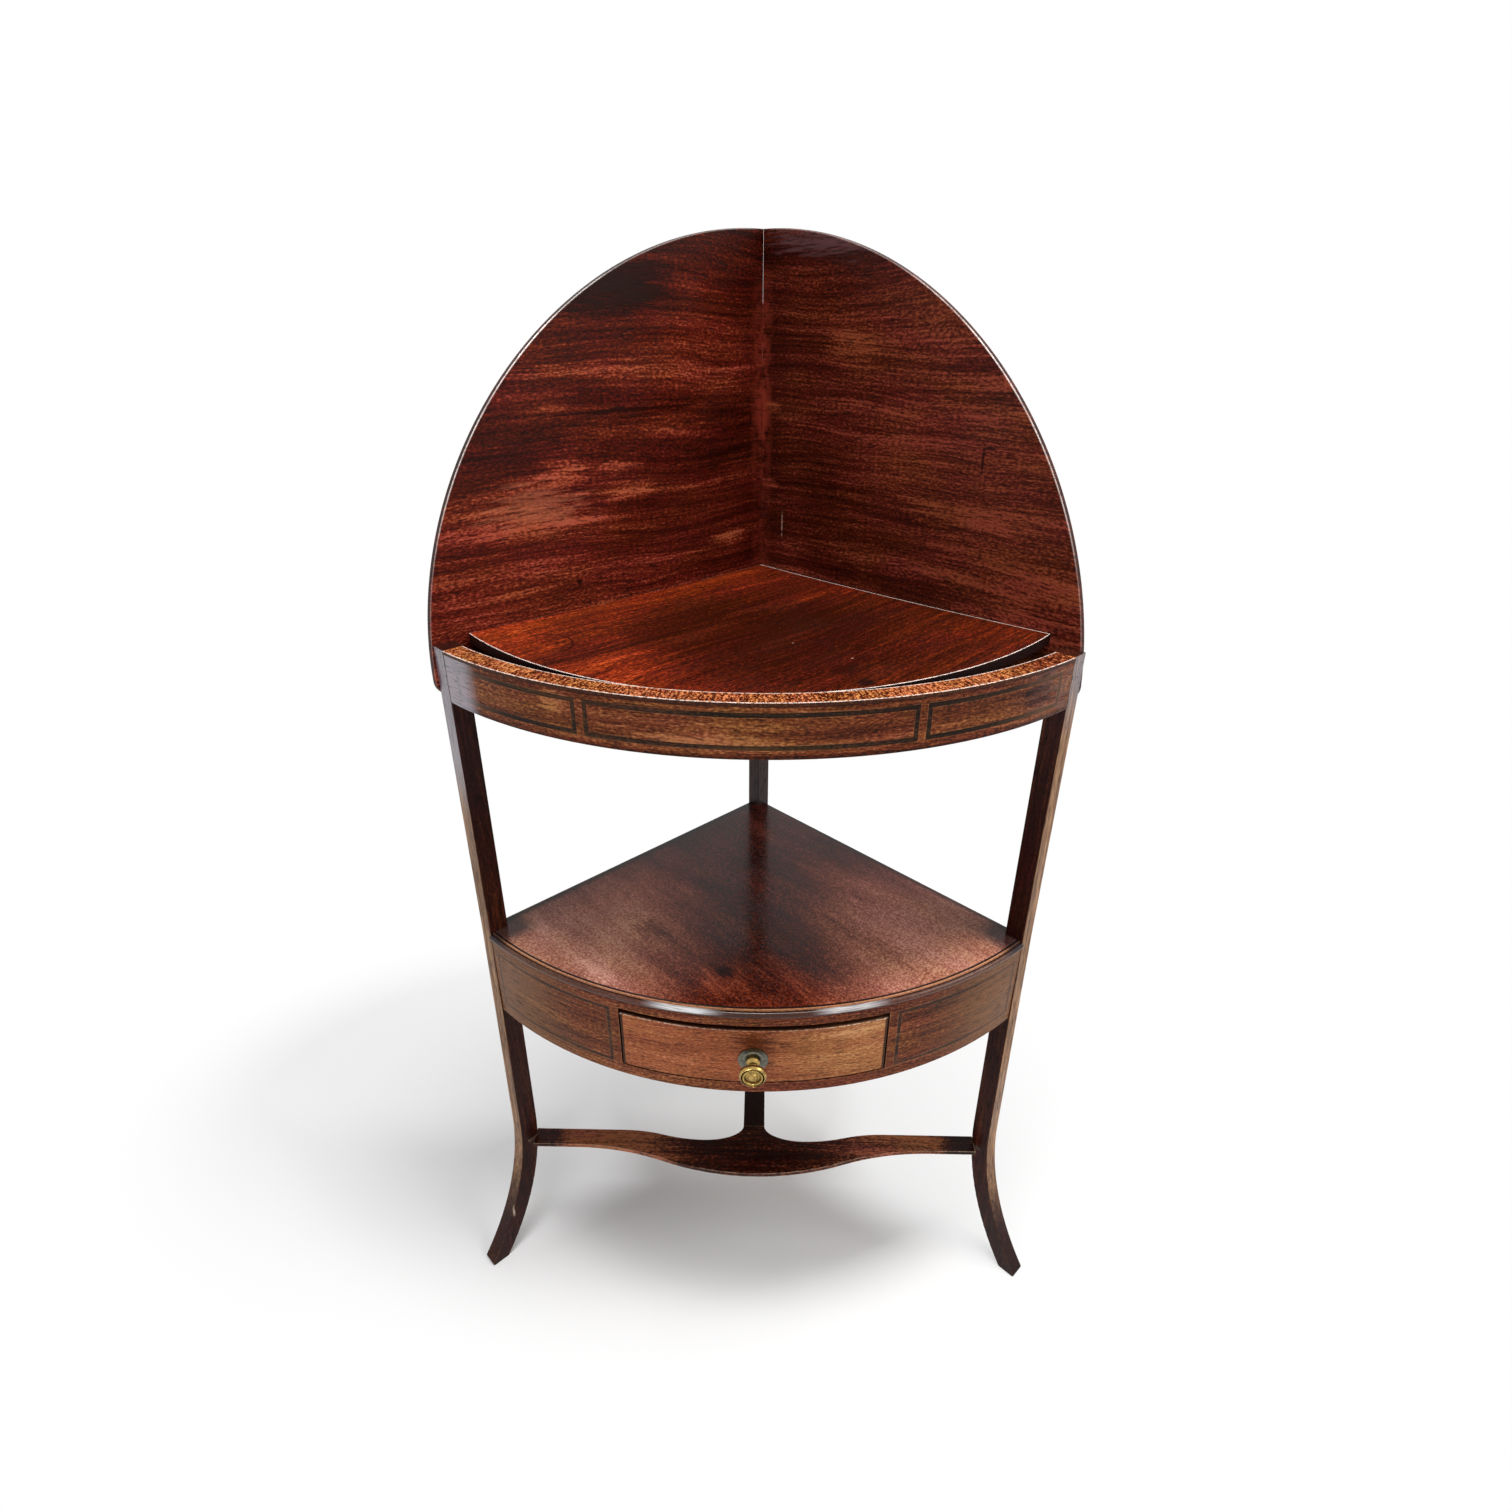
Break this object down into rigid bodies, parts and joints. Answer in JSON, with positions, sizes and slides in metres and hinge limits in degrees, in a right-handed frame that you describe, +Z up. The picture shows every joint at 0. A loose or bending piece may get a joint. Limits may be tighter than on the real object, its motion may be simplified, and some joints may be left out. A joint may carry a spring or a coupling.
{
  "type": "corner washstand",
  "caption": "Bow-front corner washstand in mahogany: splash panels, rim with a lift-off cover board, lower shelf over a drawer, swept legs and a stretcher.",
  "frame": {"origin": "bottom centre of the stand's box, on the floor, midway between the drawer knob and the back corner", "axes": "+Z up, -Y to the front where the drawer opens, +X to the stand's right as seen from the front; the back corner is at +Y"},
  "size_m": [0.6578, 0.4323, 1.1115],
  "materials": {
    "mahogany_panel": "french polished mahogany, wavy streaks, horizontal grain",
    "mahogany_lid": "french polished mahogany, orange red at the edges",
    "mahogany_leg": "polished dark mahogany",
    "mahogany_crossband": "crossbanded mahogany with short speckled grain",
    "mahogany_frieze": "polished brown mahogany veneer",
    "mahogany_shelf": "polished mahogany with slanting grain",
    "mahogany_drawer": "polished reddish mahogany veneer",
    "mahogany_stretcher": "polished mahogany",
    "mahogany_inner": "waxed mahogany",
    "secondary_wood": "unfinished oak and pine",
    "dark_string": "ebonised line inlay",
    "brass": "polished and tarnished brass",
    "screw_steel": "dull old steel"
  },
  "bodies": {
    "frame": {"splash_panel_left": "mahogany_panel", "splash_panel_right": "mahogany_panel", "front_leg_left": "mahogany_leg", "front_leg_right": "mahogany_leg", "back_leg": "mahogany_leg", "rim_band_left": "mahogany_crossband", "rim_band_centre": "mahogany_crossband", "rim_band_right": "mahogany_crossband", "upper_bow_rail": "mahogany_frieze", "lower_top_rail": "mahogany_frieze", "lower_bottom_rail": "mahogany_frieze", "lower_panel_left": "mahogany_frieze", "lower_panel_right": "mahogany_frieze", "shelf_board": "mahogany_shelf", "stretcher_front": "mahogany_stretcher", "stretcher_arm": "mahogany_stretcher", "upper_side_rail_left": "mahogany_inner", "upper_side_rail_right": "mahogany_inner", "lower_side_rail_left": "mahogany_inner", "lower_side_rail_right": "mahogany_inner", "basin_board": "mahogany_inner", "basin_board_blocks": "secondary_wood", "shelf_blocks": "secondary_wood", "drawer_runner_left": "secondary_wood", "drawer_runner_right": "secondary_wood", "drawer_guide_left": "secondary_wood", "drawer_guide_right": "secondary_wood", "drawer_stops": "secondary_wood", "upper_stringing": "dark_string", "lower_stringing": "dark_string", "splash_screws": "screw_steel"},
    "drawer": {"drawer_front": "mahogany_drawer", "drawer_side_left": "secondary_wood", "drawer_side_right": "secondary_wood", "drawer_back": "secondary_wood", "drawer_bottom": "secondary_wood", "knob": "brass", "knob_backplate": "brass", "knob_post": "brass", "knob_nut": "brass"},
    "lid": {"lid_board": "mahogany_lid"}
  },
  "joints": [
    {"name": "drawer_slide", "type": "slide", "parent": "frame", "child": "drawer", "axis": [0, -1, 0], "range_m": [0, 0.165]},
    {"name": "lid_lift", "type": "slide", "parent": "frame", "child": "lid", "axis": [0, 0, 1], "range_m": [0, 0.36]}
  ]
}
